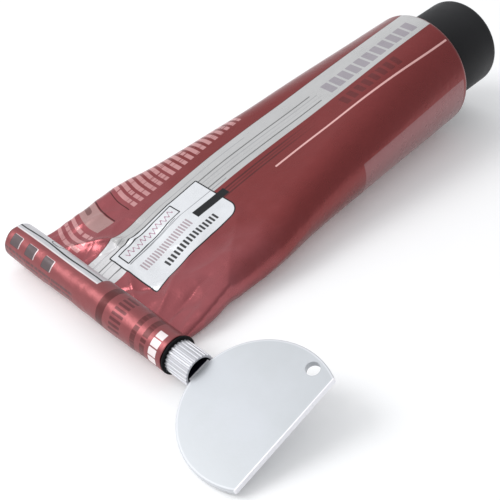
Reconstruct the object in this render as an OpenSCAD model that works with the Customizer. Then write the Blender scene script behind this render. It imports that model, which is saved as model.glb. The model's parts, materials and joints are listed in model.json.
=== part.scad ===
// Collapsible metal paste tube, partly used, with its tail wound on a split-shaft
// winding key. Millimetres, +Z up, +X from the wound tail towards the cap.
// The tube lies on its lower face. Because it tapers from a round shoulder to a
// flat tail, its own axis climbs from the tail to the cap by the angle "climb".

/* [Sleeve] */
// Outside diameter of the round end of the tube
tube_d = 35; // [30:0.5:40]
// Length of the tapering sleeve, from the flat line to the shoulder
sleeve_len = 124; // [110:1:150]
// Wall thickness of the sleeve
wall = 0.3; // [0.25:0.05:0.4]
// Thickness of the flattened double sheet
web_t = 0.7; // [0.6:0.05:0.9]
// Length of the soft zone that flattens as the key is wound on
soft_len = 40; // [36:1:44]

/* [Shoulder and neck] */
// Rounding between the sleeve and the shoulder
rim_round = 2; // [1.5:0.25:3]
// Angle that the shoulder cone rises
shoulder_deg = 25; // [20:1:30]
// Wall thickness of the shoulder
shoulder_t = 0.8; // [0.6:0.1:1]
// Radius of the nozzle bore
bore_r = 3.3; // [3:0.1:3.5]
// Radius of the neck between the threads
neck_r = 4.65; // [4.5:0.05:5]
// Length of the neck above the shoulder
neck_len = 7; // [6.8:0.1:7.6]

/* [Cap] */
// Outside diameter of the cap
cap_d = 26.8; // [24:0.1:28]
// Length of the cap
cap_len = 17.7; // [16.5:0.1:20]
// Thickness of the cap's walls
cap_wall = 1.3; // [1:0.1:1.5]
// Rounding of the cap's end edge
cap_round = 1.8; // [1:0.1:2.5]
// Thickness of the sealing wad
liner_t = 1; // [0.8:0.1:1.2]

/* [Thread] */
// Rise of the thread in one turn
pitch = 2.5; // [2.3:0.1:2.8]
// Height of the thread ridges
ridge_h = 0.75; // [0.7:0.05:0.8]

/* [Wound tail] */
// Outside radius of the wound roll
roll_r = 4.85; // [4.7:0.05:5.4]
// Radial rise of the winding in one turn
wind_pitch = 0.62; // [0.6:0.01:0.66]
// Thickness of the wound double sheet
wind_t = 0.5; // [0.44:0.02:0.54]
// Sideways offset of the roll from the tube's middle
roll_skew = 5.35; // [3:0.05:6]
// Extra length of the roll, as its layers creep sideways
wind_creep = 2.7; // [1:0.1:4]

/* [Key] */
// Radius of the key's split shaft
shaft_r = 2.6; // [2.5:0.05:2.6]
// Width of the slot in the shaft
slot_w = 1.5; // [1.45:0.05:1.6]
// Radius of the black collar
collar_r = 4.6; // [4.2:0.1:5.2]
// Thickness of the black collar
collar_t = 0.6; // [0.5:0.1:1.6]
// Radius of the fluted boss
boss_r = 3.9; // [3.6:0.1:4.4]
// Length of the fluted boss
boss_len = 6.5; // [5:0.1:9]
// Number of flutes round the boss
flutes = 26; // [20:2:30]
// Radius of the round side of the grip plate
plate_r = 16.7; // [15:0.1:18]
// Distance from the plate's centre to its straight edge
plate_cut = 8; // [7:0.1:10]
// Thickness of the grip plate
plate_t = 1.6; // [1.2:0.1:2]
// Radius of the hanging hole
hole_r = 1.6; // [1.5:0.05:1.8]

/* [Hidden] */
gap = 0.3;
hair = 0.05;
past = 1;
deg = 180 / PI;
tube_r = tube_d / 2;
flat_w = PI * tube_r;

// the tube's climb, from its lower face lying flat on the ground
reach = sqrt(sleeve_len * sleeve_len + tube_r * tube_r);
climb = atan(tube_r / sleeve_len) - asin(web_t / 2 / reach);
pivot_x = 1.6;

// positions along the tube's axis, counted from the shoulder's rim
cone_rise = tan(shoulder_deg);
cone_t = shoulder_t * 1.1;
neck_base = rim_round + (tube_r - rim_round - neck_r) * cone_rise;
neck_top = neck_base + neck_len;
liner_lo = neck_top + gap;
liner_hi = liner_lo + liner_t;
wad_over = 0.4;
floor_lo = liner_hi + gap;
floor_t = 1;
floor_hi = floor_lo + floor_t;
cap_r = cap_d / 2;
skirt_r = cap_r - cap_wall;
cap_lo = rim_round + (tube_r - rim_round - skirt_r) * cone_rise + gap;
cap_hi = cap_lo + cap_len;
lip_chamfer = 0.25;
pocket_r = 4.2;
pocket_wall = 1.2;
point_r = 1.7;
point_tip = 0.15;
point_gap = 0.5;

// thread
crest_r = neck_r + ridge_h + hair;
socket_r = crest_r + gap;
socket_wall = 1.5;
socket_out = socket_r + socket_wall;
socket_lift = 0.8;
socket_lo = neck_base + socket_lift;
socket_chamfer = 0.3;
ridge_base = 1.3;
ridge_top = 0.5;
turn_steps = 24;
thread_lift = 1.6;
thread_lo = neck_base + thread_lift;
male_end = 0.9;
male_turns = (neck_top - male_end - thread_lo) / pitch;
female_lag = 0.4;
female_lo = thread_lo + pitch * (0.5 - female_lag);
female_end = 0.75;
female_turns = (neck_top - female_end - female_lo) / pitch;

// roll and key; angles are seen with +X to the right and +Z up
lead_hi = 5.3;
lead_lo = -1.2;
lead_toe = lead_hi * 0.55;
lead_gap = 0.55;
feed_h = web_t + (tube_d - web_t) / sleeve_len * (lead_hi - pivot_x);
roll_z = feed_h + gap + roll_r;
plate_chamfer = 0.2;
plate_fall = asin((roll_z - plate_t / 2) / (plate_r + hair));
crimp_t = slot_w - 2 * gap;
crimp_inset = 0.4;
wind_in = shaft_r + gap;
wind_out = roll_r - wind_t;
wind_end = 270 + 2 * 360;
wind_start = wind_end - 360 * (wind_out - wind_in) / wind_pitch;
wind_step = 12;
slot_deg = wind_start;
roll_len = flat_w + wind_creep;
roll_hi = roll_len / 2 - roll_skew;
roll_lo = roll_hi - roll_len;
collar_hi = roll_lo - gap;
boss_hi = collar_hi - collar_t;
boss_lo = boss_hi - boss_len;
boss_floor = 2;
boss_wall = 0.75;
mouth_d = boss_len - boss_floor;
mouth_r = boss_r - boss_wall;
flute_r = 0.32;
flute_set = 0.06;
flute_n = 24;
tongue_gap = 0.35;
tongue_w = 2 * (mouth_r - tongue_gap);
tip_inset = 1;
tip_len = 1;
tip_taper = 0.5;
shaft_end = roll_hi - tip_inset;
plate_mid = boss_lo - gap / 3 - plate_r;
plate_end = plate_mid - plate_cut;
hole_up = 0.825;
hole_out = 0.18;
hole_u = plate_r * hole_up;
hole_y = plate_mid - plate_r * hole_out;

// the origin: the middle of the whole part's box, on the ground
x_hi = pivot_x + (sleeve_len + cap_hi - cap_round) * cos(climb)
     + (cap_r - cap_round) * sin(climb) + cap_round;
x_lo = -plate_r * cos(plate_fall) - (plate_t / 2 - plate_chamfer) * sin(plate_fall);
mid_x = (x_hi + x_lo) / 2;
mid_y = (flat_w / 2 + plate_end) / 2;

lacquer = [0.55, 0.25, 0.28];
metal = [0.8, 0.81, 0.83];
black = [0.12, 0.12, 0.13];
cream = [0.93, 0.9, 0.82];

// ---- frames ----

// from the part's own layout to its origin
module placed() {
  translate([-mid_x, -mid_y, 0])
    children();
}

// along the tube's axis, with the shoulder's rim at zero and +Z towards the cap
module on_axis() {
  placed()
    translate([pivot_x, 0, web_t / 2])
      rotate([0, 90 - climb, 0])
        translate([0, 0, sleeve_len])
          children();
}

// along the roll's axis: local X and Y are the part's X and Z, and +Z runs to -Y
module on_roll(y) {
  placed()
    translate([0, y, roll_z])
      rotate([90, 0, 0])
        children();
}

// ---- solids made of rings ----

ring_n = 64;
round_n = 96;
edge_steps = 8;

// a point on a flattened tube: height h, straight sides s, a share f of the way round
function stadium(h, s, f) =
  let (q = PI * h / 4, d = f * (2 * s + PI * h), k = deg * 2 / h)
  d < q ? [-h / 2 * sin(d * k), s / 2 + h / 2 * cos(d * k)] :
  d < q + s ? [-h / 2, s / 2 - (d - q)] :
  d < 3 * q + s ? let (u = 90 + (d - q - s) * k) [-h / 2 * sin(u), -s / 2 + h / 2 * cos(u)] :
  d < 3 * q + 2 * s ? [h / 2, -s / 2 + (d - 3 * q - s)] :
  let (u = 270 + (d - 3 * q - 2 * s) * k) [-h / 2 * sin(u), s / 2 + h / 2 * cos(u)];

// one flattened section at axial place a; each point keeps its share of the way round
function section(h, s, a) = [
  for (i = [0:ring_n - 1])
    let (p = stadium(h, s, i / ring_n))
    [p[0], p[1], a]
];

// the sleeve's section at a share t of the way from the flat line to the rim
function height_at(t) = web_t + (tube_d - web_t) * t;
function straight_at(t) = PI * (tube_d - height_at(t)) / 2;
function sleeve_ring(t, inset) =
  section(height_at(t) - 2 * inset, straight_at(t), (t - 1) * sleeve_len);

// a quarter round of radius r about the point [x, y]
function quarter(x, y, r) = [
  for (i = [0:edge_steps])
    let (a = 90 * i / edge_steps)
    [x + r * cos(a), y + r * sin(a)]
];

function flat_list(rings) = [for (r = rings) each r];

// faces of a band between ring i and ring i + 1, each of n points
function band(i, n) = [
  for (j = [0:n - 1])
    each [
      [i * n + j, i * n + (j + 1) % n, (i + 1) * n + (j + 1) % n],
      [i * n + j, (i + 1) * n + (j + 1) % n, (i + 1) * n + j]
    ]
];

// a closed solid through a list of rings, each of n points
module loft(rings, n) {
  m = len(rings);
  first = [for (j = [0:n - 1]) n - 1 - j];
  last = [for (j = [0:n - 1]) (m - 1) * n + j];
  sides = [for (i = [0:m - 2]) each band(i, n)];
  polyhedron(points = flat_list(rings), faces = concat([first], sides, [last]), convexity = 8);
}

// a shell between two lists of rings, closed at both ends
module shell(outer, inner, n) {
  m = len(outer);
  back = [for (i = [m - 1:-1:0]) inner[i]];
  loop = concat(outer, back);
  sides = [for (i = [0:2 * m - 2]) each band(i, n)];
  close = [
    for (j = [0:n - 1])
      each [
        [(2 * m - 1) * n + j, (2 * m - 1) * n + (j + 1) % n, (j + 1) % n],
        [(2 * m - 1) * n + j, (j + 1) % n, j]
      ]
  ];
  polyhedron(points = flat_list(loop), faces = concat(sides, close), convexity = 8);
}

// a thread ridge that stands out from radius r, or inwards with way = -1
function ridge_ring(r, way, lift, turn, fade) =
  let (h = ridge_h * fade, b = ridge_base / 2, c = ridge_base / 2 - (ridge_base - ridge_top) / 2 * fade)
  [for (p = [[r, -b], [r + way * h, -c], [r + way * h, c], [r, b]])
    [p[0] * cos(turn), p[0] * sin(turn), p[1] + lift]];

fade_from = 0.08;
fade_rate = 6;

module ridge(r, way, turns, from_turn, from_z) {
  steps = ceil(turns * turn_steps);
  rings = [
    for (i = [0:steps])
      let (fade = min(1, fade_from + fade_rate * min(i, steps - i) / turn_steps),
           turn = 360 * (from_turn + i / turn_steps))
      ridge_ring(r, way, from_z + pitch * (from_turn + i / turn_steps), turn, fade)
  ];
  flipped = way > 0 ? rings : [for (q = rings) [q[3], q[2], q[1], q[0]]];
  loft(flipped, 4);
}

// ---- tube ----

body_bands = 10;
tail_bands = 6;

module sleeve_part(from_t, to_t, bands) {
  ts = [for (i = [0:bands]) from_t + (to_t - from_t) * i / bands];
  outer = [for (t = ts) sleeve_ring(t, 0)];
  inner = [for (t = ts) sleeve_ring(t, wall)];
  on_axis() shell(outer, inner, ring_n);
}

module sleeve_body() {
  color(lacquer)
    sleeve_part(soft_len / sleeve_len, 1, body_bands);
}

// the zone next to the roll, which flattens as the tail is wound up
module sleeve_tail() {
  start = lead_hi - pivot_x + lead_gap;
  color(lacquer)
    sleeve_part(start / sleeve_len, (soft_len - hair) / sleeve_len, tail_bands);
}

module shoulder() {
  inner_r = tube_r - shoulder_t;
  inner_round = max(rim_round - shoulder_t, gap);
  outer = quarter(tube_r - rim_round, 0, rim_round);
  inner = quarter(inner_r - inner_round, 0, inner_round);
  back = [for (i = [edge_steps:-1:0]) inner[i]];
  color(lacquer)
    on_axis()
      translate([0, 0, hair])
        rotate_extrude()
          polygon(concat(
            outer,
            [[neck_r, neck_base], [bore_r, neck_base], [bore_r, neck_base - cone_t]],
            back));
}

module neck() {
  chamfer = 0.4;
  lo = neck_base + 2 * hair;
  color(metal)
    on_axis()
      rotate_extrude()
        polygon([
          [bore_r, lo], [neck_r, lo], [neck_r, neck_top - chamfer],
          [neck_r - chamfer, neck_top], [bore_r, neck_top]
        ]);
}

module neck_thread() {
  color(metal)
    on_axis()
      ridge(neck_r + hair, 1, male_turns, 0, thread_lo);
}

// the paste that is left, from the soft zone up to the nozzle's mouth
module paste() {
  ts = [
    for (i = [0:body_bands])
      (soft_len + (sleeve_len - soft_len) * i / body_bands) / sleeve_len
  ];
  body = [for (t = ts) sleeve_ring(t, wall + gap / 2)];
  r_in = tube_r - shoulder_t - 2 * hair;
  neck_in = bore_r - 2 * hair;
  corner = 2 * gap;
  run = [[r_in, hair], [r_in - corner, corner], [neck_in, neck_base - cone_t - gap],
         [neck_in, neck_top - corner]];
  top = [for (p = run) section(2 * p[0], 0, p[1])];
  color(cream)
    on_axis()
      loft(concat(body, top), ring_n);
}

// ---- cap ----

// the sealing wad moves along with the cap but does not turn
module liner() {
  color(cream)
    on_axis()
      translate([0, 0, liner_lo])
        cylinder(r = neck_r + wad_over, h = liner_t, $fn = round_n);
}

module cap_shell() {
  edge = quarter(cap_r - cap_round, cap_hi - cap_round, cap_round);
  wall_r = pocket_r + pocket_wall;
  color(black)
    on_axis()
      rotate_extrude()
        polygon(concat(
          [[skirt_r, cap_lo], [cap_r - lip_chamfer, cap_lo], [cap_r, cap_lo + lip_chamfer]],
          edge,
          [[pocket_r, cap_hi], [pocket_r, floor_hi], [point_r, floor_hi],
           [point_tip, cap_hi - point_gap], [0, cap_hi - point_gap], [0, floor_lo],
           [socket_out, floor_lo], [socket_out, floor_hi], [wall_r, floor_hi],
           [wall_r, cap_hi - cap_wall], [skirt_r, cap_hi - cap_wall]]));
}

// the threaded socket inside the cap
module cap_socket() {
  color(black)
    on_axis()
      rotate_extrude()
        polygon([
          [socket_r, socket_lo + socket_chamfer], [socket_r + socket_chamfer, socket_lo],
          [socket_out, socket_lo],
          [socket_out, floor_lo - hair], [socket_r, floor_lo - hair]
        ]);
}

module cap_thread() {
  color(black)
    on_axis()
      ridge(socket_r - hair, -1, female_turns, -female_lag, thread_lo + pitch / 2);
}

// ---- wound tail ----

// the sheet that slides along under the roll and feeds into it
module lead_in() {
  color(lacquer)
    placed()
      translate([0, flat_w / 2, 0])
        rotate([90, 0, 0])
          linear_extrude(height = flat_w)
            polygon([
              [lead_lo, feed_h - web_t], [lead_toe, 0], [lead_hi, 0],
              [lead_hi, feed_h], [lead_lo, feed_h]
            ]);
}

function wind_radius(a) = wind_in + wind_pitch * (a - wind_start) / 360;

module tail_roll() {
  steps = ceil((wind_end - wind_start) / wind_step);
  angles = [for (i = [0:steps]) wind_start + (wind_end - wind_start) * i / steps];
  inner = [for (a = angles) wind_radius(a) * [cos(a), sin(a)]];
  outer = [for (i = [steps:-1:0]) (wind_radius(angles[i]) + wind_t) * [cos(angles[i]), sin(angles[i])]];
  color(lacquer)
    on_roll(roll_hi)
      linear_extrude(height = roll_len)
        polygon(concat(inner, outer));
}

// the folded end of the tube, held in the key's slot
module crimp() {
  color(metal)
    on_roll(roll_hi - wind_creep - crimp_inset)
      rotate([0, 0, slot_deg])
        translate([-shaft_r, -crimp_t / 2, 0])
          cube([2 * shaft_r, crimp_t, flat_w - 2 * crimp_inset]);
}

// ---- key ----

module key_shaft() {
  whole = shaft_end - boss_hi;
  slot = shaft_end - roll_lo;
  color(metal)
    on_roll(shaft_end)
      difference() {
        union() {
          cylinder(r1 = shaft_r - tip_taper, r2 = shaft_r, h = tip_len, $fn = round_n);
          translate([0, 0, tip_len])
            cylinder(r = shaft_r, h = whole - tip_len - hair, $fn = round_n);
        }
        rotate([0, 0, slot_deg])
          translate([-shaft_r - past, -slot_w / 2, -past])
            cube([2 * (shaft_r + past), slot_w, slot + past + gap / 2]);
      }
}

module key_collar() {
  color(black)
    on_roll(collar_hi)
      difference() {
        cylinder(r = collar_r, h = collar_t - hair, $fn = round_n);
        translate([0, 0, -past])
          cylinder(r = shaft_r + hair, h = collar_t + 2 * past, $fn = round_n);
      }
}

// the fluted boss, open at the plate's end
module key_boss() {
  color(metal)
    on_roll(boss_hi)
      difference() {
        cylinder(r = boss_r, h = boss_len, $fn = round_n);
        translate([0, 0, boss_floor])
          cylinder(r = mouth_r, h = mouth_d + past, $fn = round_n);
        for (i = [0:flutes - 1])
          rotate([0, 0, i * 360 / flutes])
            translate([boss_r + flute_set, 0, -past])
              cylinder(r = flute_r, h = boss_len + 2 * past, $fn = flute_n);
      }
}

// the grip plate: a disc cut straight along its outer side, with a tongue into the boss
module key_plate() {
  tongue_end = boss_hi - boss_floor - hair;
  tongue_root = plate_mid + plate_r - past;
  color(metal)
    placed()
      translate([0, 0, roll_z])
        rotate([0, -plate_fall, 0])
          difference() {
            union() {
              intersection() {
                translate([0, plate_mid, -plate_t / 2])
                  rotate_extrude()
                    polygon([
                      [0, 0], [plate_r - plate_chamfer, 0], [plate_r, plate_chamfer],
                      [plate_r, plate_t - plate_chamfer], [plate_r - plate_chamfer, plate_t],
                      [0, plate_t]
                    ]);
                translate([-plate_r - past, plate_end, -plate_t])
                  cube([2 * (plate_r + past), plate_cut + plate_r + past, 2 * plate_t]);
              }
              translate([-tongue_w / 2, tongue_root, -plate_t / 2])
                cube([tongue_w, tongue_end - tongue_root, plate_t]);
            }
            translate([hole_u, hole_y, -plate_t])
              cylinder(r = hole_r, h = 2 * plate_t, $fn = round_n);
          }
}

sleeve_body();
sleeve_tail();
shoulder();
neck();
neck_thread();
paste();
liner();
cap_shell();
cap_socket();
cap_thread();
lead_in();
tail_roll();
crimp();
key_shaft();
key_collar();
key_boss();
key_plate();
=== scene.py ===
"""Looks of the paste tube with its winding key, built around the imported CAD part."""

import json
import math

import bpy
import numpy as np
from mathutils import Matrix, Vector, noise


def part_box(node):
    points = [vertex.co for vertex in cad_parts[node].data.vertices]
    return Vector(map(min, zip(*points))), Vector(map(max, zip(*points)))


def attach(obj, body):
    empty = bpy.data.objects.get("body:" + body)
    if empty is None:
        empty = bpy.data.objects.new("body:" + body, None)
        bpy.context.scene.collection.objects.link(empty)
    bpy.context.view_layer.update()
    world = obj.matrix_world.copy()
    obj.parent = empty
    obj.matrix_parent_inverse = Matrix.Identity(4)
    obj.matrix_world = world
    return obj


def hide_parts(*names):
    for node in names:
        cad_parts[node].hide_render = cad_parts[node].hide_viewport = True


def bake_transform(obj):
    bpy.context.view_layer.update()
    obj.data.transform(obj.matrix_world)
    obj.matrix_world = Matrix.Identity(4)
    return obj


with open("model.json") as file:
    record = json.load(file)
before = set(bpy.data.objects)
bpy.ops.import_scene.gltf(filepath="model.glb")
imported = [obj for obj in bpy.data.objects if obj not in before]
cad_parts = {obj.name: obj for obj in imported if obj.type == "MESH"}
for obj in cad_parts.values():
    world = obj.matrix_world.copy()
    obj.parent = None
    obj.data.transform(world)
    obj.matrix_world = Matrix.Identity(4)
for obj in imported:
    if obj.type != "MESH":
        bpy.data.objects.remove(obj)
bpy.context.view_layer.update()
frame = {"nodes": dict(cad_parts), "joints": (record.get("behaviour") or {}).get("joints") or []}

MM = 0.001
joints = {j["name"]: j for j in frame["joints"]}

# ---- where things are, read from the frame ----

CAP_HINGE_AT = 10.0
SLEEVE_LEN = 124.0
WEB_T = 0.7
axis = Vector(joints["cap_turn"]["axis"]).normalized()
across = Vector((0, 1, 0))
rise = axis.cross(across)
rim = Vector(joints["cap_turn"]["pos_m"]) - axis * CAP_HINGE_AT * MM
flat = rim - axis * SLEEVE_LEN * MM
shoulder_low, shoulder_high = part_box("shoulder")
TUBE_D = (shoulder_high.y - shoulder_low.y) / MM
ROUND = math.pi * TUBE_D
roll_axis = Vector(joints["key_turn"]["pos_m"])
roll_low, roll_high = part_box("tail_roll")
ROLL_R = (roll_axis.z - roll_low.z) / MM
boss_mouth_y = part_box("key_boss")[0].y
plate_cut_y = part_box("key_plate")[0].y
PLATE_R = 16.7
PLATE_GAP = 0.1
FLOOR_CLEAR = 0.02  # the skin stays this far above the ground (mm)


# ---- meshes ----


def grid_mesh(name, rows, uv_rows, wrap=True):
    """A skin through rows of points; uv_rows holds one more column than rows when it wraps."""
    n_rows, n = rows.shape[0], rows.shape[1]
    faces, uvs = [], []
    last = n if wrap else n - 1
    for i in range(n_rows - 1):
        for j in range(last):
            k = (j + 1) % n
            faces.append((i * n + j, i * n + k, (i + 1) * n + k, (i + 1) * n + j))
            uvs += [uv_rows[i][j], uv_rows[i][j + 1], uv_rows[i + 1][j + 1], uv_rows[i + 1][j]]
    mesh = bpy.data.meshes.new(name)
    mesh.from_pydata([tuple(p) for p in rows.reshape(-1, 3)], [], faces)
    layer = mesh.uv_layers.new(name="print")
    layer.data.foreach_set("uv", np.array(uvs, np.float32).ravel())
    mesh.polygons.foreach_set("use_smooth", [True] * len(mesh.polygons))
    mesh.update()
    obj = bpy.data.objects.new(name, mesh)
    bpy.context.scene.collection.objects.link(obj)
    return obj


def stadium(h, s, f):
    """Point on a flattened section: height h, straight part s, a share f of the way round."""
    q = math.pi * h / 4
    d = (f % 1.0) * (2 * s + math.pi * h)
    k = 2 / h
    if d < q:
        return s / 2 + h / 2 * math.cos(d * k), h / 2 * math.sin(d * k)
    if d < q + s:
        return s / 2 - (d - q), h / 2
    if d < 3 * q + s:
        a = math.pi / 2 + (d - q - s) * k
        return -s / 2 + h / 2 * math.cos(a), h / 2 * math.sin(a)
    if d < 3 * q + 2 * s:
        return -s / 2 + (d - 3 * q - s), -h / 2
    a = 3 * math.pi / 2 + (d - 3 * q - 2 * s) * k
    return s / 2 + h / 2 * math.cos(a), h / 2 * math.sin(a)


def smooth(x):
    """An even step from 0 to 1 as x goes from 0 to 1."""
    x = min(1.0, max(0.0, x))
    return x * x * (3 - 2 * x)


# ---- the tube's skin: one sheet from under the roll to the neck ----

# soft bumps and dents: place across, place along, reach across, reach along, height (mm)
BUMPS = [
    (24, 29, 6, 11, 1.0),
    (22, 72, 6, 13, -0.4),
    (-28, 40, 7, 13, 1.0),
    (-27.5, 15, 4, 7, 0.75),
    (-17, 16, 5, 5, 0.7),
    (-8, 27, 5, 6, 0.6),
    (2, 22, 7, 5, -0.45),
    (-1, 33, 6, 6, 0.35),
    (13, 15, 4, 4, 0.6),
    (20, 12, 4, 5, -0.5),
    (-13, 31, 4, 9, -0.45),
    (-19, 27, 3.5, 7, 0.5),
    (-22, 14, 3, 4, -0.5),
    (8, 50, 6, 14, 0.3),
    (-2, 70, 9, 16, -0.25),
    (-20, 88, 8, 16, 0.2),
    (5, 100, 7, 12, -0.15),
]
# creases: two ends (across, along), half width and height (mm)
CREASES = [
    ((18, 7.5), (5, 19.5), 1.3, 1.15),
    ((5, 19.5), (0, 33), 1.2, 0.3),
    ((10, 7), (6, 17), 0.8, -0.45),
    ((-1, 12.5), (-9, 7.5), 0.9, 0.95),
    ((-4, 6), (-13, 13), 0.8, -0.45),
    ((-11, 40), (-24.5, 23), 1.8, 0.5),
    ((-24.5, 23), (-27, 6), 1.0, 1.25),
    ((-18, 7), (-13, 17), 1.0, 0.55),
    ((-13, 17), (-9, 30), 1.0, 0.25),
    ((24, 6), (19, 20), 1.0, 0.45),
    ((-21, 6), (-19.5, 22), 0.9, -0.45),
    ((11, 6), (13, 14), 0.8, -0.35),
    ((2, 7), (4, 15), 0.8, 0.35),
    ((-30, 26), (-27, 52), 1.6, 0.3),
]


def push(p, q):
    """How far the sheet stands out at a place across (p) and along (q), in mm."""
    out = 0.0
    for bp, bq, rp, rq, h in BUMPS:
        e = ((p - bp) / rp) ** 2 + ((q - bq) / rq) ** 2
        if e < 12:
            out += h * math.exp(-e)
    for (ap, aq), (cp, cq), w, h in CREASES:
        vx, vy = cp - ap, cq - aq
        t = min(1.0, max(0.0, ((p - ap) * vx + (q - aq) * vy) / (vx * vx + vy * vy)))
        d = math.hypot(p - ap - t * vx, q - aq - t * vy)
        if d < 6 * w:
            out += h * math.exp(-d / w) * (0.35 + 0.65 * math.sin(math.pi * (0.12 + 0.76 * t)))
    soft = smooth((74 - q) / 60)
    wide = noise.noise(Vector((p / 9, q / 11, 3.7)))
    fold = 1 - abs(noise.noise(Vector((p / 5.5, q / 8, 9.1))))
    near = smooth((46 - q) / 30)
    out += soft * 0.22 * wide + near * 0.3 * (fold**3 - 0.45)
    out += (1 - soft) * 0.1 * noise.noise(Vector((p / 14, q / 20, 5.2)))
    return out


LEAD_LIFT = 1.42  # how far the sheet climbs to the roll (mm)
LEAD_FROM = -1.9  # where the skin ends under the roll, along the sleeve
ROUND_STEPS = 272
SHOULDER_ROUND = 2.0
SHOULDER_DEG = 25.0
SHOULDER_STEPS = 10
CONE_STEPS = 16
NECK_R = 4.7
FINE_TO = 60  # the rows are close together up to here
rows_q = list(np.arange(LEAD_FROM, FINE_TO, 0.42)) + list(np.arange(FINE_TO, SLEEVE_LEN, 0.9)) + [SLEEVE_LEN]


def sleeve_row(q):
    """Height, straight part, and the lift off the line for a place along the sleeve."""
    t = max(q, 0.0) / SLEEVE_LEN
    h = WEB_T + (TUBE_D - WEB_T) * t
    if q < 0:
        h = WEB_T + 0.02 * q
    s = math.pi * (TUBE_D - h) / 2
    lift = LEAD_LIFT * smooth((6.5 - q) / 8.0)
    return h, s, lift


def shoulder_profile():
    """The rounded rim and the cone down to the neck, as (radius, place along) from the rim on."""
    start_r = TUBE_D / 2 - SHOULDER_ROUND
    slope = math.tan(math.radians(SHOULDER_DEG))
    out = [
        (start_r + SHOULDER_ROUND * math.cos(a), SHOULDER_ROUND * math.sin(a))
        for a in np.linspace(0, math.pi / 2, SHOULDER_STEPS + 1)[1:]
    ]
    for t in np.linspace(0, 1, CONE_STEPS + 1)[1:]:
        r = start_r + (NECK_R - start_r) * t
        out.append((r, SHOULDER_ROUND + (start_r - r) * slope))
    return out


def tube_skin():
    """The sleeve with its dents, the sheet that climbs to the roll, and the shoulder, in one skin."""
    base = np.zeros((len(rows_q), ROUND_STEPS, 3))
    uv = []
    place = [ROUND / 2 - ROUND * j / ROUND_STEPS for j in range(ROUND_STEPS + 1)]
    for i, q in enumerate(rows_q):
        h, s, lift = sleeve_row(q)
        centre = flat + axis * q * MM + rise * lift * MM
        for j in range(ROUND_STEPS):
            y, z = stadium(h, s, 0.75 + j / ROUND_STEPS)
            base[i, j] = centre + across * y * MM + rise * z * MM
        uv.append([(q / 100, p / 100) for p in place])
    along = np.gradient(base, axis=0)
    round_ = np.roll(base, -1, axis=1) - np.roll(base, 1, axis=1)
    normal = np.cross(round_, along)
    normal /= np.linalg.norm(normal, axis=2, keepdims=True) + 1e-12
    centre_line = base.mean(axis=1, keepdims=True)
    if np.sum(normal * (base - centre_line)) < 0:
        normal = -normal
    for i, q in enumerate(rows_q):
        near_end = smooth((SLEEVE_LEN - q) / 14) * smooth((q - LEAD_FROM) / 9)
        for j in range(ROUND_STEPS):
            p = place[j]
            under = smooth((abs(p) - ROUND * 0.3) / (ROUND * 0.12))
            d = push(p, q) * near_end * (1 - 0.85 * under)
            base[i, j] += normal[i, j] * d * MM
    base[:, :, 2] = np.maximum(base[:, :, 2], FLOOR_CLEAR * MM)
    tail = shoulder_profile()
    more = np.zeros((len(tail), ROUND_STEPS, 3))
    run = SLEEVE_LEN
    before = (TUBE_D / 2, 0.0)
    for i, (r, a) in enumerate(tail):
        run += math.hypot(r - before[0], a - before[1])
        before = (r, a)
        for j in range(ROUND_STEPS):
            y, z = stadium(2 * r, 0.0, 0.75 + j / ROUND_STEPS)
            more[i, j] = rim + axis * a * MM + across * y * MM + rise * z * MM
        uv.append([(run / 100, p / 100) for p in place])
    # the closed edge under the roll
    shut = base[:1].copy()
    mid = flat + axis * (LEAD_FROM - 0.25) * MM + rise * LEAD_LIFT * MM
    shut[0, :, 0] = mid.x
    shut[0, :, 2] = mid.z
    uv = [uv[0]] + uv
    return grid_mesh("tube_skin", np.concatenate([shut, base, more]), uv)


skin = tube_skin()

# ---- the wound roll ----

SHEET_T = 0.5
WIND_IN = 2.9
WIND_PITCH = 0.62
WIND_END = math.radians(270 + 720)
WIND_START = WIND_END - 2 * math.pi * (ROLL_R - SHEET_T - WIND_IN) / WIND_PITCH


TURN_STEP = math.radians(5)
ROLL_ROWS = 150
LAYER_FILL = 0.92  # a layer's share of the room that it has in the spiral
PINCH = (0.0, 0.6)  # the sheet's thickness at the two rows that close each end


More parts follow.
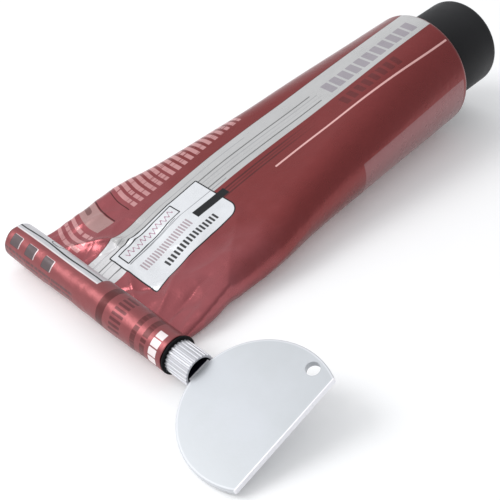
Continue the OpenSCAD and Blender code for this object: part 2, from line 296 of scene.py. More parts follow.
def roll_skin():
    """A spiral of double sheet along Y, a little uneven, whose outer end runs on under the roll."""
    steps = int((WIND_END - WIND_START) / TURN_STEP)
    angles = np.linspace(WIND_START, WIND_END, steps + 1)
    y_hi, y_lo = roll_high.y / MM, roll_low.y / MM
    ys = np.linspace(y_hi, y_lo, ROLL_ROWS)
    count = ROLL_ROWS + 2 * len(PINCH)
    outline = [(a, 1.0) for a in angles] + [(a, 0.0) for a in angles[::-1]]
    rows = np.zeros((count, len(outline), 3))
    uv = []
    for i in range(count):
        k = min(max(i - len(PINCH), 0), ROLL_ROWS - 1)
        y = ys[k]
        from_end = min(i, count - 1 - i)
        pinch = PINCH[from_end] if from_end < len(PINCH) else 1.0
        row = []
        for j, (a, side) in enumerate(outline):
            share = (a - WIND_START) / (WIND_END - WIND_START)
            r = WIND_IN + WIND_PITCH * (a - WIND_START) / (2 * math.pi)
            half = SHEET_T / 2 * (0.35 + 0.65 * pinch) * LAYER_FILL
            wob = 0.1 * noise.noise(Vector((math.cos(a) * 1.4, math.sin(a) * 1.4, y / 6)))
            wob += 0.07 * noise.noise(Vector((math.cos(a) * 3, math.sin(a) * 3, y / 2.2 + 7)))
            wob += 0.1 * math.sin((y + 3) / 4.5) * share - 0.12 * smooth((-23 - y + roll_axis.y / MM) / 6)
            rr = min(r + SHEET_T / 2 + (half if side else -half) + wob * share, ROLL_R + 0.04)
            yy = y + 0.25 * noise.noise(Vector((a * 1.3, share * 4, 2.0 if k else 6.0)))
            yy = min(max(yy, y_lo), y_hi)
            rows[i, j] = (
                roll_axis.x + rr * math.cos(a) * MM,
                yy * MM,
                roll_axis.z + rr * math.sin(a) * MM,
            )
            row.append((yy / 100 - roll_axis.y / MM / 100, math.degrees(a % (2 * math.pi)) / 1000))
        row.append(row[0])
        uv.append(row)
    return grid_mesh("roll_skin", rows, uv)


roll = roll_skin()


# ---- lathe pieces ----


def lathe(name, profile, steps, at):
    """Turns a closed outline of (radius, place along) about the tube's axis."""
    rows = np.zeros((len(profile) + 1, steps, 3))
    uv = []
    loop = profile + [profile[0]]
    run = 0.0
    for i, (r, a) in enumerate(loop):
        if i:
            run += math.hypot(r - loop[i - 1][0], a - loop[i - 1][1])
        for j in range(steps):
            t = 2 * math.pi * j / steps
            rows[i, j] = at + axis * a * MM + across * r * math.cos(t) * MM + rise * r * math.sin(t) * MM
        uv.append([(run / 100, j / steps) for j in range(steps + 1)])
    return grid_mesh(name, rows, uv)


def arc(cx, cy, r, a0, a1, n):
    """Points on an arc round (cx, cy), from a0 to a1 degrees."""
    turns = [math.radians(a0 + (a1 - a0) * i / n) for i in range(n + 1)]
    return [(cx + r * math.cos(a), cy + r * math.sin(a)) for a in turns]


cap_low, cap_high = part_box("cap_shell")
CAP_R = (cap_high.y - cap_low.y) / 2 / MM
CAP_WALL = 1.3
CAP_ROUND = 1.8
CAP_LO = 3.885
CAP_HI = 21.585
FLOOR_LO = 15.66
FLOOR_HI = 16.66
POCKET_R = 4.2
SOCKET_OUT = 7.25
SKIRT_R = CAP_R - CAP_WALL
LIP_ROUND = 0.35
GROOVE = 0.07
POCKET_ROUND = 0.3
POCKET_WALL = 1.2
POINT_R = 1.75  # the piercing point's foot
AXIS_R = 0.04  # the point stops just short of the axis
FLOOR_STEP = FLOOR_HI - 0.01

cap_profile = (
    # the skirt's lip and the parting groove above it
    [(SKIRT_R, CAP_LO + 0.12), (SKIRT_R + 0.15, CAP_LO)]
    + arc(CAP_R - LIP_ROUND, CAP_LO + LIP_ROUND, LIP_ROUND, -90, 0, 5)
    + [(CAP_R, CAP_LO + 1.0), (CAP_R - GROOVE, CAP_LO + 1.12)]
    + [(CAP_R - GROOVE, CAP_LO + 1.3), (CAP_R, CAP_LO + 1.42)]
    # the outside and the rounded end
    + [(CAP_R, CAP_HI - CAP_ROUND - 4), (CAP_R, CAP_HI - CAP_ROUND - 0.1)]
    + arc(CAP_R - CAP_ROUND, CAP_HI - CAP_ROUND, CAP_ROUND, 0, 90, 14)
    # the pocket and the piercing point in it
    + arc(POCKET_R + POCKET_ROUND, CAP_HI - POCKET_ROUND, POCKET_ROUND, 90, 180, 4)
    + arc(POCKET_R - POCKET_ROUND, FLOOR_HI + POCKET_ROUND, POCKET_ROUND, 0, -90, 4)
    + [(POINT_R, FLOOR_HI), (POINT_R - 0.15, FLOOR_HI + 0.12)]
    + [(0.25, CAP_HI - 0.62), (AXIS_R, CAP_HI - 0.5)]
    # the inside
    + [(AXIS_R, FLOOR_LO), (SOCKET_OUT, FLOOR_LO), (SOCKET_OUT, FLOOR_STEP)]
    + [(POCKET_R + POCKET_WALL, FLOOR_STEP), (POCKET_R + POCKET_WALL, CAP_HI - CAP_WALL)]
    + [(SKIRT_R, CAP_HI - CAP_WALL)]
)
cap_skin = lathe("cap_skin", cap_profile, 192, rim)

# ---- procedural finishes ----


class Ink:
    """A small builder for node materials."""

    def __init__(self, name):
        self.mat = bpy.data.materials.new(name)
        self.mat.use_nodes = True
        self.tree = self.mat.node_tree
        self.tree.nodes.clear()
        self.out = self.tree.nodes.new("ShaderNodeOutputMaterial")
        self.shader = self.tree.nodes.new("ShaderNodeBsdfPrincipled")
        self.tree.links.new(self.shader.outputs[0], self.out.inputs[0])

    def put(self, socket, value):
        if isinstance(value, bpy.types.NodeSocket):
            self.tree.links.new(value, socket)
        else:
            socket.default_value = value

    def math(self, op, a, b=0.0, c=0.0):
        n = self.tree.nodes.new("ShaderNodeMath")
        n.operation = op
        for s, v in zip(n.inputs, (a, b, c)):
            self.put(s, v)
        return n.outputs[0]

    def ramp(self, value, lo, hi, to_lo=0.0, to_hi=1.0):
        n = self.tree.nodes.new("ShaderNodeMapRange")
        n.interpolation_type = "SMOOTHSTEP"
        for s, v in zip(n.inputs, (value, lo, hi, to_lo, to_hi)):
            self.put(s, v)
        return n.outputs[0]

    def mix(self, factor, a, b):
        n = self.tree.nodes.new("ShaderNodeMix")
        n.data_type = "RGBA"
        self.put(n.inputs[0], factor)
        self.put(n.inputs[6], a)
        self.put(n.inputs[7], b)
        return n.outputs[2]

    def blend(self, factor, a, b):
        n = self.tree.nodes.new("ShaderNodeMix")
        n.data_type = "FLOAT"
        self.put(n.inputs[0], factor)
        self.put(n.inputs[2], a)
        self.put(n.inputs[3], b)
        return n.outputs[0]

    def noise(self, vector, scale, detail=3.0, rough=0.5, distort=0.0):
        n = self.tree.nodes.new("ShaderNodeTexNoise")
        self.put(n.inputs["Vector"], vector)
        n.inputs["Scale"].default_value = scale
        n.inputs["Detail"].default_value = detail
        n.inputs["Roughness"].default_value = rough
        n.inputs["Distortion"].default_value = distort
        return n.outputs[0]

    def object_place(self):
        return self.tree.nodes.new("ShaderNodeTexCoord").outputs["Object"]

    def split(self, vector):
        n = self.tree.nodes.new("ShaderNodeSeparateXYZ")
        self.tree.links.new(vector, n.inputs[0])
        return n.outputs

    def tint(self, colour, tone):
        """A colour made darker by a tone of up to 1."""
        n = self.tree.nodes.new("ShaderNodeMix")
        n.data_type = "RGBA"
        n.blend_type = "MULTIPLY"
        n.inputs[0].default_value = 1.0
        self.put(n.inputs[6], colour)
        self.put(n.inputs[7], tone)
        return n.outputs[2]

    def length(self, *parts):
        """The length of a vector, from its parts."""
        total = self.math("MULTIPLY", parts[0], parts[0])
        for part in parts[1:]:
            total = self.math("ADD", total, self.math("MULTIPLY", part, part))
        return self.math("SQRT", total)

    def bump(self, height, strength, distance):
        n = self.tree.nodes.new("ShaderNodeBump")
        n.inputs["Strength"].default_value = strength
        n.inputs["Distance"].default_value = distance
        self.put(n.inputs["Height"], height)
        return n.outputs[0]

    def print_place(self, scale_x, scale_y):
        """The print's own coordinates, in mm."""
        uv = self.tree.nodes.new("ShaderNodeUVMap")
        uv.uv_map = "print"
        split = self.tree.nodes.new("ShaderNodeSeparateXYZ")
        self.tree.links.new(uv.outputs[0], split.inputs[0])
        along, over = split.outputs[:2]
        return self.math("MULTIPLY", along, scale_x), self.math("MULTIPLY", over, scale_y)

    def combine(self, x, y, z=0.0):
        n = self.tree.nodes.new("ShaderNodeCombineXYZ")
        for s, v in zip(n.inputs, (x, y, z)):
            self.put(s, v)
        return n.outputs[0]

    def set(self, **values):
        for k, v in values.items():
            self.put(self.shader.inputs[k.replace("_", " ")], v)


EDGE = 0.09  # how soft a printed edge is (mm)


def mark_group():
    """Distance-field of a rounded box: outputs its fill and its outline."""
    g = bpy.data.node_groups.new("mark", "ShaderNodeTree")
    for name in ("X", "Y", "CX", "CY", "HW", "HH", "R", "T"):
        g.interface.new_socket(name=name, in_out="INPUT", socket_type="NodeSocketFloat")
    for name in ("Fill", "Line"):
        g.interface.new_socket(name=name, in_out="OUTPUT", socket_type="NodeSocketFloat")
    gi = g.nodes.new("NodeGroupInput")
    go = g.nodes.new("NodeGroupOutput")

    def m(op, a, b=0.0, clamp=False):
        n = g.nodes.new("ShaderNodeMath")
        n.operation = op
        n.use_clamp = clamp
        for s, v in zip(n.inputs, (a, b)):
            if isinstance(v, bpy.types.NodeSocket):
                g.links.new(v, s)
            else:
                s.default_value = v
        return n.outputs[0]

    i = {s.name: s for s in gi.outputs}
    dx = m("ADD", m("SUBTRACT", m("ABSOLUTE", m("SUBTRACT", i["X"], i["CX"])), i["HW"]), i["R"])
    dy = m("ADD", m("SUBTRACT", m("ABSOLUTE", m("SUBTRACT", i["Y"], i["CY"])), i["HH"]), i["R"])
    px, py = m("MAXIMUM", dx, 0.0), m("MAXIMUM", dy, 0.0)
    far = m("SQRT", m("ADD", m("MULTIPLY", px, px), m("MULTIPLY", py, py)))
    near = m("MINIMUM", m("MAXIMUM", dx, dy), 0.0)
    d = m("SUBTRACT", m("ADD", far, near), i["R"])
    fill = m("SUBTRACT", 0.5, m("DIVIDE", d, EDGE), True)
    line = m("SUBTRACT", 0.5, m("DIVIDE", m("SUBTRACT", m("ABSOLUTE", d), i["T"]), EDGE), True)
    g.links.new(fill, go.inputs["Fill"])
    g.links.new(line, go.inputs["Line"])
    return g


MARK = mark_group()

LACQUER = (0.225, 0.040, 0.040, 1)
LACQUER_TAIL = (0.33, 0.088, 0.098, 1)
LACQUER_DEEP = (0.075, 0.013, 0.013, 1)
SILVER = (0.56, 0.555, 0.55, 1)
PALE = (0.68, 0.36, 0.36, 1)
BLACK = (0.006, 0.006, 0.007, 1)
GREY = (0.25, 0.25, 0.27, 1)
# painted shade for the inside of the boss's bore
PAINTED_BORE_SHADE = (0.004, 0.004, 0.008, 1)
# painted shade for the plate's tongue where it lies inside the boss
PAINTED_TONGUE_SHADE = (0.004, 0.004, 0.010, 1)
DASH_SHARE = 0.72
DASH_EDGE = 0.06


class Print(Ink):
    """Lays printed marks over the lacquer, one on another."""

    def __init__(self, name, scale_x, scale_y):
        super().__init__(name)
        self.x, self.y = self.print_place(scale_x, scale_y)
        self.colour = LACQUER
        self.metal = 0.74

    def lay(self, mask, colour, metal, share=1.0):
        if share != 1.0:
            mask = self.math("MULTIPLY", mask, share)
        self.colour = self.mix(mask, self.colour, colour)
        self.metal = self.blend(mask, self.metal, metal)

    def mask(self, x0, x1, y0, y1, radius=0.1, line=0.0, x=None, y=None):
        n = self.tree.nodes.new("ShaderNodeGroup")
        n.node_tree = MARK
        values = {
            "X": self.x if x is None else x,
            "Y": self.y if y is None else y,
            "CX": (x0 + x1) / 2,
            "CY": (y0 + y1) / 2,
            "HW": (x1 - x0) / 2,
            "HH": (y1 - y0) / 2,
            "R": radius,
            "T": line / 2,
        }
        for k, v in values.items():
            self.put(n.inputs[k], v)
        return n.outputs["Line" if line else "Fill"]

    def box(self, x0, x1, y0, y1, colour, metal=0.2, radius=0.1, line=0.0, share=1.0, x=None, y=None):
        self.lay(self.mask(x0, x1, y0, y1, radius, line, x, y), colour, metal, share)

    def repeat(self, value, pitch, offset=0.0):
        """Place within one repeat, centred on zero, and the number of the repeat."""
        t = self.math("DIVIDE", self.math("SUBTRACT", value, offset), pitch)
        whole = self.math("FLOOR", t)
        inside = self.math("MULTIPLY", self.math("SUBTRACT", self.math("SUBTRACT", t, whole), 0.5), pitch)
        return inside, whole

    def both(self, a, b):
        return self.math("MULTIPLY", a, b)

    def lean(self, x0, slope):
        """How far a row that leans by this slope has drifted at a place along, from x0 on."""
        return self.math("MULTIPLY", self.math("SUBTRACT", self.x, x0), slope)

    def wave(self, per_mm, height):
        return self.math("MULTIPLY", self.math("SINE", self.math("MULTIPLY", self.x, per_mm)), height)

    def strokes(self, x0, x1, y0, y1, pitch, start, half, corner, colour, metal, share, y):
        """A row of even strokes along the sheet, cut off at x0 and x1."""
        inside = self.repeat(self.x, pitch, start)[0]
        stroke = self.mask(-half, half, y0, y1, corner, x=inside, y=y)
        area = self.mask(x0, x1, y0 - 1, y1 + 1, y=y)
        self.lay(self.both(stroke, area), colour, metal, share)

    def small_rows(
        self, x0, x1, y0, y1, pitch, height, colour, seed, grain=1.1, along_y=True, amount=0.45, x=None
    ):
        """Rows of plain dashes where the real tube has small print."""
        xs = self.x if x is None else x
        run, step, start = (self.y, xs, x0) if along_y else (xs, self.y, y0)
        inside, whole = self.repeat(step, pitch, start)
        off = self.math("ABSOLUTE", inside)
        row = self.math("SUBTRACT", 1.0, self.ramp(off, height / 2 - DASH_EDGE, height / 2 + DASH_EDGE))
        spot = self.combine(self.math("MULTIPLY", run, grain), self.math("MULTIPLY", whole, 7.3), seed)
        broken = self.ramp(self.noise(spot, 1.0, 1.0), amount - 0.07, amount + 0.07)
        area = self.mask(x0, x1, y0, y1, x=x)
        self.lay(self.both(self.both(row, broken), area), colour, 0.25, DASH_SHARE)

    def finish(self, rough, coat, bump_scale, bump_height):
        """Metal flakes, a cloudy sheen and a fine peel over the print."""
        where = self.object_place()
        flake = self.noise(where, 5200, 2.0, 0.6)
        cloud = self.noise(where, 190, 3.0, 0.5)
        tone = self.math("ADD", 0.84, self.math("MULTIPLY", self.math("ADD", flake, cloud), 0.16))
        peel = self.noise(where, bump_scale, 4.0, 0.55)
        self.set(
            Base_Color=self.tint(self.colour, tone),
            Metallic=self.metal,
            Roughness=self.math("ADD", rough, self.math("MULTIPLY", cloud, 0.08)),
            Coat_Weight=coat,
            Coat_Roughness=0.22,
            Specular_IOR_Level=0.25,
            Normal=self.bump(peel, 0.35, bump_height),
        )
        return self.mat


def band_place(m):
    """Place across the sheet measured from the silver band, which drifts as it runs along."""
    drift = m.tree.nodes.new("ShaderNodeFloatCurve")
    curve = drift.mapping.curves[0]
    reach, spread = 150, 12
    bends = [(0, -2.0), (12, -1.4), (22, -0.5), (40, 0.05), (60, -0.4), (80, -1.8), (100, -2.9), (124, -4.2)]
    bends.append((reach, -4.6))
    for i, (along, off) in enumerate(bends):
        place = (along / reach, 0.5 + off / spread)
        if i < 2:
            curve.points[i].location = place
        else:
            curve.points.new(*place)
    curve.points[0].location = (0.0, 0.5 + bends[0][1] / spread)
    drift.mapping.update()
    m.put(drift.inputs["Value"], m.math("DIVIDE", m.x, reach))
    return m.math("SUBTRACT", m.y, m.math("MULTIPLY", m.math("SUBTRACT", drift.outputs[0], 0.5), spread))


def lighter_tail(m):
    """The lighter tone towards the roll, with a cloudy edge."""
    tail_cloud = m.noise(m.combine(m.math("MULTIPLY", m.x, 0.11), m.math("MULTIPLY", m.y, 0.11), 2.0), 1.0, 2.0)
    reach = m.math("ADD", m.x, m.math("MULTIPLY", m.math("SUBTRACT", tail_cloud, 0.5), 26.0))
    m.lay(m.ramp(reach, 50.0, 18.0), LACQUER_TAIL, 0.82)


def side_panels(m):
    """The dull panels on both flanks and the underside, with their rows of dashes."""
    m.box(76, 123.5, -44, -23.4, (0.30, 0.13, 0.135, 1), 0.55, 0.3, share=0.9)
    m.box(70, 123.5, 27, 50, (0.46, 0.42, 0.43, 1), 0.45, 0.6)
    m.box(70, 123.5, 27, 50, GREY, 0.3, 0.6, line=0.3)
    m.box(10, 68, 31, 50, (0.46, 0.40, 0.41, 1), 0.45, 0.6, share=0.85)
    m.small_rows(12, 66, 32.5, 48.5, 2.1, 0.9, LACQUER_DEEP, 31.0)
    m.small_rows(74, 120, 29, 48, 3.4, 1.5, LACQUER_DEEP, 35.0, amount=0.42)
    m.small_rows(10, 70, -54, -32, 2.2, 0.95, PALE, 37.0)


def far_flank(m):
    """Rows of dashes, a pale patch and two lines on the far side, all bending with the sheet."""
    over = m.math("MAXIMUM", m.math("SUBTRACT", m.y, 17.0), 0.0)
    xq = m.math("SUBTRACT", m.x, m.math("MULTIPLY", m.math("MULTIPLY", over, over), 0.033))
    m.small_rows(26.4, 66, 13.8, 33, 2.24, 1.3, PALE, 3.0, grain=1.5, x=xq, amount=0.38)
    m.small_rows(7.4, 14.4, 13.9, 30, 2.24, 1.15, PALE, 6.0, grain=1.5, x=xq, amount=0.38)
    m.box(15.1, 20.3, 14.1, 30, (0.42, 0.24, 0.23, 1), 0.4, x=xq)
    m.box(20.45, 20.85, 14.1, 33, LACQUER_DEEP, 0.3, 0.05, x=xq)
    m.box(25.3, 25.6, 14.1, 33, LACQUER_DEEP, 0.3, 0.05, x=xq)
    m.box(16.9, 18.6, 21.5, 27.0, LACQUER_DEEP, 0.3, 0.7, share=0.6, x=xq)


def silver_band(m, yb):
    """The lengthwise band with a painted highlight towards the roll, its fine lines, and a row of blocks
    towards the shoulder.
    """
    m.box(-6, 124.6, 0.0, 10.2, SILVER, 0.62, y=yb)
    # painted highlight: the band is lighter towards the roll
    m.box(-6, 15.5, 0.0, 10.2, (0.80, 0.79, 0.80, 1), 0.5, share=0.75, y=yb)
    # each line: where it starts and ends along, its two sides across, tone and strength
    for x0, x1, y0, y1, tone, metal, share in (
        (-6, 124.6, 10.15, 10.4, LACQUER_DEEP, 0.3, 0.6),
        (-6, 61, 7.95, 8.15, GREY, 0.3, 0.6),
        (-6, 82.5, 5.65, 5.98, BLACK, 0.2, 0.75),
        (-6, 84, 4.45, 4.7, GREY, 0.3, 0.5),
        (-6, 83.2, 1.9, 2.22, BLACK, 0.2, 0.75),
        (41, 84.4, 3.3, 3.45, GREY, 0.3, 0.35),
    ):
        m.box(x0, x1, y0, y1, tone, metal, 0.05, share=share, y=yb)
    yt = m.math("SUBTRACT", yb, m.lean(86.0, -0.012))
    m.strokes(86.6, 121.4, 1.9, 6.3, 3.16, 86.6, 1.2, 0.25, (0.36, 0.33, 0.36, 1), 0.4, 1.0, yt)


def beside_band(m, yb):
    """Fine dark stripes, a pale line and a row of dark blocks beside the band."""
    for y0, share in ((-1.75, 0.9), (-2.75, 0.55), (-3.75, 0.8)):
        fade = m.ramp(m.x, 78.0, 60.0)
        stripe = m.mask(42, 79, y0 - 0.24, y0 + 0.24, 0.05, y=yb)
        m.lay(m.both(stripe, fade), LACQUER_DEEP, 0.3, share)
    m.box(57.6, 124.0, -7.12, -6.52, (0.80, 0.46, 0.44, 1), 0.4, 0.2, y=yb)
    m.strokes(85.0, 107.9, -4.95, -1.6, 2.86, 85.0, 0.9, 0.2, (0.075, 0.014, 0.016, 1), 0.4, 0.5, yb)


def label_box(m, yb):
    """The white label: its frame, an inner frame with a waving line, two rows of strokes, a bar."""
    # only its far lower corner is rounded
    rounded = m.both(m.ramp(m.x, 26.0, 27.0), m.ramp(yb, -2.0, -3.0))
    corner = m.math("ADD", 0.25, m.math("MULTIPLY", rounded, 3.3))
    yl = m.math("ADD", yb, m.both(m.ramp(yb, 3.0, -8.0), m.lean(42.0, -0.034)))
    m.lay(m.mask(11.6, 42.2, -9.9, 6.7, corner, y=yl), (0.78, 0.79, 0.81, 1), 0.5)
    m.lay(m.mask(11.6, 42.2, -9.9, 6.7, corner, line=0.36, y=yl), BLACK, 0.15)
    ft = m.math("SUBTRACT", yb, m.lean(23.0, 0.035))
    m.box(13.4, 32.3, 1.75, 5.55, BLACK, 0.15, 0.12, line=0.34, y=ft)
    m.box(13.6, 47.6, 0.75, 1.0, GREY, 0.2, 0.05, share=0.8, y=yb)
    m.box(13.4, 30.0, 1.0, 1.25, BLACK, 0.15, 0.05, share=0.6, y=ft)
    yw = m.math("SUBTRACT", m.math("SUBTRACT", ft, m.wave(4.4, 0.62)), m.wave(1.27, 0.35))
    m.box(14.7, 31.3, 3.45, 3.95, (0.42, 0.24, 0.31, 1), 0.2, y=yw)
    yr = m.math("ADD", yb, m.lean(31.0, -0.02))
    m.strokes(14.6, 31.6, -3.9, -1.1, 0.86, 14.4, 0.24, 0.12, (0.26, 0.13, 0.165, 1), 0.2, 0.65, yr)
    yk = m.math("ADD", yb, m.lean(37.0, -0.03))
    m.strokes(18.6, 37.0, -7.7, -5.5, 1.15, 18.6, 0.32, 0.15, BLACK, 0.15, 0.95, yk)
    m.box(33.7, 44.5, -3.5, -1.05, BLACK, 0.15, y=yb)


def sheet_print():
    """The tube's print: a silver lengthwise band, a white label box, and rows of plain strokes."""
    m = Print("lacquered_print", 100, 100)
    lighter_tail(m)
    yb = band_place(m)
    side_panels(m)
    far_flank(m)
    silver_band(m, yb)
    beside_band(m, yb)
    label_box(m, yb)
    return m.finish(0.24, 0.14, 420, 0.00035)


def roll_print():
    """The wound face of the same sheet: plain marks, placed along the roll (mm) and round it."""
    deg = math.radians(1) * ROLL_R
    m = Print("wound_print", 100, 1000 * deg)
    m.colour = (0.275, 0.078, 0.083, 1)
    m.box(-8.4, 26, 10 * deg, 97 * deg, (0.62, 0.61, 0.63, 1), 0.6, 0.2)
    m.box(-8.4, 26, 93 * deg, 98 * deg, (0.80, 0.74, 0.75, 1), 0.5)
    m.box(-8.4, 26, 76 * deg, 82 * deg, BLACK, 0.15, y=m.math("SUBTRACT", m.y, m.wave(0.35, 0.16)))
    m.box(8.6, 13.0, 30 * deg, 68 * deg, BLACK, 0.15, 1.6, line=0.3)
    m.box(-14.8, -12.4, -5, 31, LACQUER_DEEP, 0.5, share=0.75)
    # three plain dark blocks, each with a light edge
    for c in (20.0, 13.9, 7.3):
        m.box(c - 2.0, c + 1.6, 117 * deg, 154 * deg, (0.78, 0.72, 0.73, 1), 0.3, 0.3, share=0.7)
        m.box(c - 1.7, c + 1.7, 118 * deg, 155 * deg, (0.05, 0.030, 0.034, 1), 0.2, 0.3, share=0.9)
    # rows of dashes along the roll, then round it
    deep = (0.08, 0.05, 0.055, 1)
    m.small_rows(-3.5, 24, 163 * deg, 200 * deg, 1.25, 0.7, deep, 2.0, 1.4, along_y=False, amount=0.42)
    m.small_rows(-3.5, 24, 205 * deg, 330 * deg, 2.2, 1.1, PALE, 4.0, 1.4, along_y=False)
    inside = m.repeat(m.y, 1.3, 66 * deg)[0]
    area = m.mask(-20.7, -17.0, 66 * deg, 190 * deg)
    stroke = m.mask(-20.7, -17.0, -0.36, 0.36, 0.2, y=inside)
    m.lay(m.both(stroke, area), (0.075, 0.018, 0.022, 1), 0.3, 0.7)
    m.small_rows(-26.2, -23.8, 60 * deg, 230 * deg, 2.4, 1.5, LACQUER_DEEP, 8.0, 1.3, amount=0.4)
    m.small_rows(-29.3, -27.0, 60 * deg, 230 * deg, 2.3, 1.6, LACQUER_DEEP, 9.0, 1.3, amount=0.4)
    # plain pale blocks
    inside = m.repeat(m.y, 2.3, 94 * deg)[0]
    area = m.mask(-33.0, -29.5, 93 * deg, 205 * deg)
    block = m.mask(-32.6, -30.2, -0.98, 0.98, 0.15, y=inside)
    m.lay(m.both(block, area), (0.82, 0.74, 0.74, 1), 0.2)
    return m.finish(0.36, 0.12, 520, 0.0003)


def plain(
    name, colour, metal, rough, grain_scale, grain, peel_scale, peel,
    stretch=(1, 1, 1), coat=0.0, shine=0.5, painted_shade_r=0.0,
):
    """A finish whose tone, roughness and surface all vary a little with place.

    With a radius given for it, paints shade on what lies nearer than that to the roll's axis, near black
    with its metal and shine taken away, for the shade inside the boss's bore.
    """
    m = Ink(name)
    where = m.object_place()
    mapping = m.tree.nodes.new("ShaderNodeMapping")
    mapping.inputs["Scale"].default_value = stretch
    m.tree.links.new(where, mapping.inputs["Vector"])
    cloud = m.noise(mapping.outputs[0], grain_scale, 4.0, 0.55)
    peel_map = m.noise(mapping.outputs[0], peel_scale, 3.0, 0.6)
    base = m.tint(colour, m.ramp(cloud, 0.25, 0.75, 1 - grain, 1.0))
    # painted shade: inside the boss's bore the colour goes near black and the metal and shine fall away
    if painted_shade_r:
        x, _, z = m.split(where)
        far = m.length(m.math("SUBTRACT", x, roll_axis.x), m.math("SUBTRACT", z, roll_axis.z))
        outside = m.ramp(far, painted_shade_r * MM, (painted_shade_r + 0.12) * MM)
        base = m.mix(outside, PAINTED_BORE_SHADE, base)
        metal = m.math("MULTIPLY", outside, metal)
        shine = m.math("MULTIPLY", outside, shine)
    m.set(
        Base_Color=base,
        Metallic=metal,
        Roughness=m.ramp(cloud, 0.2, 0.8, rough * 0.85, min(1.0, rough * 1.15)),
        Coat_Weight=coat,
        Specular_IOR_Level=shine,
        Normal=m.bump(peel_map, 0.3, peel),
    )
    return m.mat


# the grip plate's finish: where its painted highlights on the rim, cut edge and lip start and end (mm)
RIM_FROM, RIM_FULL = 0.62, 0.42
CUT_FULL, CUT_TO = 0.12, 0.32
LIP_FROM, LIP_FULL = 0.42, 0.34
LIP_R, LIP_R_FULL = 3.3, 3.1


def plate_finish():
    """The grip plate: painted highlights along its cut edge, its rim and a lip before the boss's mouth, and
    painted shade where its tongue is inside the boss.
    """
    m = Ink("grip_plate_satin")
    where = m.object_place()
    x, y, z = m.split(where)
    dx = m.math("SUBTRACT", x, roll_axis.x)
    dy = m.math("SUBTRACT", y, boss_mouth_y - (PLATE_GAP + PLATE_R) * MM)
    dz = m.math("SUBTRACT", z, roll_axis.z)
    cloud = m.noise(where, 60, 4.0, 0.55)
    fine = m.noise(where, 1100, 3.0, 0.6)
    base = m.mix(m.ramp(cloud, 0.3, 0.7), (0.53, 0.55, 0.57, 1), (0.57, 0.59, 0.62, 1))
    # painted highlight along the plate's round rim
    painted_rim_highlight = m.ramp(m.length(dx, dy, dz), (PLATE_R - RIM_FROM) * MM, (PLATE_R - RIM_FULL) * MM)
    base = m.mix(m.math("MULTIPLY", painted_rim_highlight, 0.5), base, (0.74, 0.75, 0.78, 1))
    # painted highlight on the cut edge and a thin strip of the top face beside it
    painted_cut_highlight = m.ramp(y, plate_cut_y + CUT_TO * MM, plate_cut_y + CUT_FULL * MM)
    base = m.mix(painted_cut_highlight, base, (0.94, 0.93, 0.97, 1))
    # painted highlight: a bright line across the plate just before the boss's mouth
    before_mouth = m.ramp(y, boss_mouth_y - LIP_FROM * MM, boss_mouth_y - LIP_FULL * MM)
    outside = m.ramp(y, boss_mouth_y + 0.04 * MM, boss_mouth_y)
    within = m.ramp(m.length(dx, dz), LIP_R * MM, LIP_R_FULL * MM)
    painted_lip_highlight = m.math("MULTIPLY", m.math("MULTIPLY", before_mouth, outside), within)
    base = m.mix(painted_lip_highlight, base, (0.96, 0.95, 0.99, 1))
    # painted shade on the tongue inside the boss: near black, with little metal and shine
    inside = m.ramp(y, boss_mouth_y, boss_mouth_y + 0.08 * MM)
    base = m.mix(inside, base, PAINTED_TONGUE_SHADE)
    m.set(
        Base_Color=base,
        Metallic=m.blend(inside, 0.35, 0.0),
        Roughness=m.ramp(cloud, 0.2, 0.8, 0.38, 0.5),
        Specular_IOR_Level=m.blend(inside, 0.5, 0.1),
        Normal=m.bump(fine, 0.3, 0.00004),
    )
    return m.mat


sheet_mat = sheet_print()
roll_mat = roll_print()
plate_mat = plate_finish()
SHAFT_GREY = (0.56, 0.58, 0.60, 1)
BOSS_GREY = (0.60, 0.60, 0.63, 1)
BARE = (0.78, 0.79, 0.80, 1)
PLASTIC = (0.010, 0.010, 0.0115, 1)
COLLAR = (0.004, 0.004, 0.005, 1)
WAD = (0.83, 0.82, 0.78, 1)
CREAM = (0.90, 0.86, 0.76, 1)
key_mat = plain("key_satin", SHAFT_GREY, 0.35, 0.44, 60, 0.05, 900, 0.00004, (1, 0.25, 1))
# the boss gets painted shade inside its bore
boss_mat = plain("boss_satin", BOSS_GREY, 0.4, 0.4, 160, 0.1, 1100, 0.00006, painted_shade_r=3.2)
bare_mat = plain("bare_aluminium", BARE, 0.95, 0.33, 240, 0.12, 1300, 0.00008)
plastic_mat = plain("satin_black_plastic", PLASTIC, 0.0, 0.5, 120, 0.25, 1500, 0.00009, shine=0.28)
collar_mat = plain("dull_black_collar", COLLAR, 0.0, 0.6, 120, 0.2, 1500, 0.00009, shine=0.12)
wad_mat = plain("white_wad", WAD, 0.0, 0.8, 500, 0.12, 2400, 0.00014)
paste_mat = plain("cream_paste", CREAM, 0.0, 0.35, 140, 0.06, 300, 0.0001, coat=0.3)


def dress(obj, mat):
    obj.data.materials.clear()
    obj.data.materials.append(mat)


dress(skin, sheet_mat)
dress(roll, roll_mat)
dress(cap_skin, plastic_mat)
for node, mat in {
    "neck": bare_mat,
    "neck_thread": bare_mat,
    "paste": paste_mat,
    "liner": wad_mat,
    "cap_socket": plastic_mat,
    "cap_thread": plastic_mat,
    "crimp": bare_mat,
    "key_shaft": key_mat,
    "key_collar": collar_mat,
    "key_boss": boss_mat,
    "key_plate": plate_mat,
}.items():
    dress(frame["nodes"][node], mat)

# softened edges on the collar
COLLAR_ROUND = 0.15
collar = frame["nodes"]["key_collar"]
weld = collar.modifiers.new("weld", "WELD")
weld.merge_threshold = 0.000002
bevel = collar.modifiers.new("soft_edges", "BEVEL")
bevel.width = COLLAR_ROUND * MM
bevel.segments = 3
bevel.limit_method = "ANGLE"
bevel.angle_limit = math.radians(50)

# ---- who moves with what ----

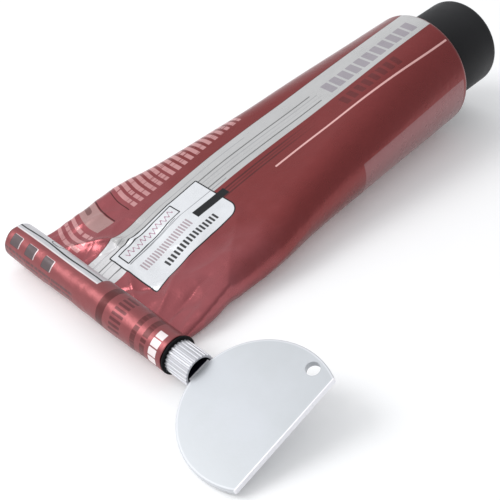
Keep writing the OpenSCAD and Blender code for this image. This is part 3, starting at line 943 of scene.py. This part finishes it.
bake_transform(skin)
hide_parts("sleeve_body", "sleeve_tail", "shoulder", "lead_in")
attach(roll, "roll")
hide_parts("tail_roll")
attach(cap_skin, "cap")
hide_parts("cap_shell")

# ---- stage, light and camera ----

ROOM_DIM = 0.54
ROOM_LIT = 0.96


def stage_plane(name, size, z, mat):
    mesh = bpy.data.meshes.new(name)
    corners = [(-size, -size, z), (size, -size, z), (size, size, z), (-size, size, z)]
    mesh.from_pydata(corners, [], [(0, 1, 2, 3)])
    obj = bpy.data.objects.new(name, mesh)
    bpy.context.scene.collection.objects.link(obj)
    mesh.materials.append(mat)
    return obj


ground = Ink("pale_ground")
ground.set(
    Base_Color=(0.95, 0.95, 0.95, 1),
    Roughness=0.9,
    Specular_IOR_Level=0.15,
    Emission_Color=(1, 1, 1, 1),
    Emission_Strength=0.1,
)
GROUND_Z = -0.00012  # just under the part
stage_plane("ground", 6.0, GROUND_Z, ground.mat)

world = bpy.data.worlds.new("soft_room")
bpy.context.scene.world = world
world.use_nodes = True
sky = world.node_tree
where = sky.nodes.new("ShaderNodeTexCoord")
lean = sky.nodes.new("ShaderNodeVectorMath")
lean.operation = "DOT_PRODUCT"
lean.inputs[1].default_value = (-0.22, 0.82, 0.53)
glow = sky.nodes.new("ShaderNodeMapRange")
glow.interpolation_type = "SMOOTHSTEP"
for socket, value in zip(glow.inputs[1:5], (-0.35, 0.95, ROOM_DIM, ROOM_LIT)):
    socket.default_value = value
sky.links.new(where.outputs["Generated"], lean.inputs[0])
sky.links.new(lean.outputs["Value"], glow.inputs[0])
sky.links.new(glow.outputs[0], sky.nodes["Background"].inputs[1])
sky.nodes["Background"].inputs[0].default_value = (0.96, 0.975, 1.0, 1)


def softbox(name, place, target, size, power, colour=(1, 1, 1)):
    light = bpy.data.lights.new(name, "AREA")
    light.shape = "RECTANGLE"
    light.size, light.size_y = size
    light.energy = power
    light.color = colour
    obj = bpy.data.objects.new(name, light)
    bpy.context.scene.collection.objects.link(obj)
    obj.location = place
    obj.rotation_euler = (Vector(target) - Vector(place)).to_track_quat("-Z", "Y").to_euler()
    return obj


softbox("key_light", (-0.46, 0.34, 0.55), (0, 0.0, 0), (0.42, 0.36), 2.7)

CAMERA_AT = (-0.161637, -0.134709, 0.146874)
CAMERA_DIR = Vector((0.563220, 0.574282, -0.594125))
CAMERA_UP = Vector((0.417117, 0.423083, 0.804372))
SENSOR = 36.0
LENS = 70.37136
camera = bpy.data.objects.new("camera", bpy.data.cameras.new("camera"))
bpy.context.scene.collection.objects.link(camera)
right = CAMERA_DIR.cross(CAMERA_UP).normalized()
up = right.cross(CAMERA_DIR).normalized()
turn = Matrix((right, up, -CAMERA_DIR.normalized())).transposed()
camera.matrix_world = Matrix.Translation(CAMERA_AT) @ turn.to_4x4()
camera.data.sensor_width = SENSOR
camera.data.lens = LENS
camera.data.clip_start = 0.01
camera.data.clip_end = 20
bpy.context.scene.camera = camera
bpy.context.scene.view_settings.view_transform = "Standard"
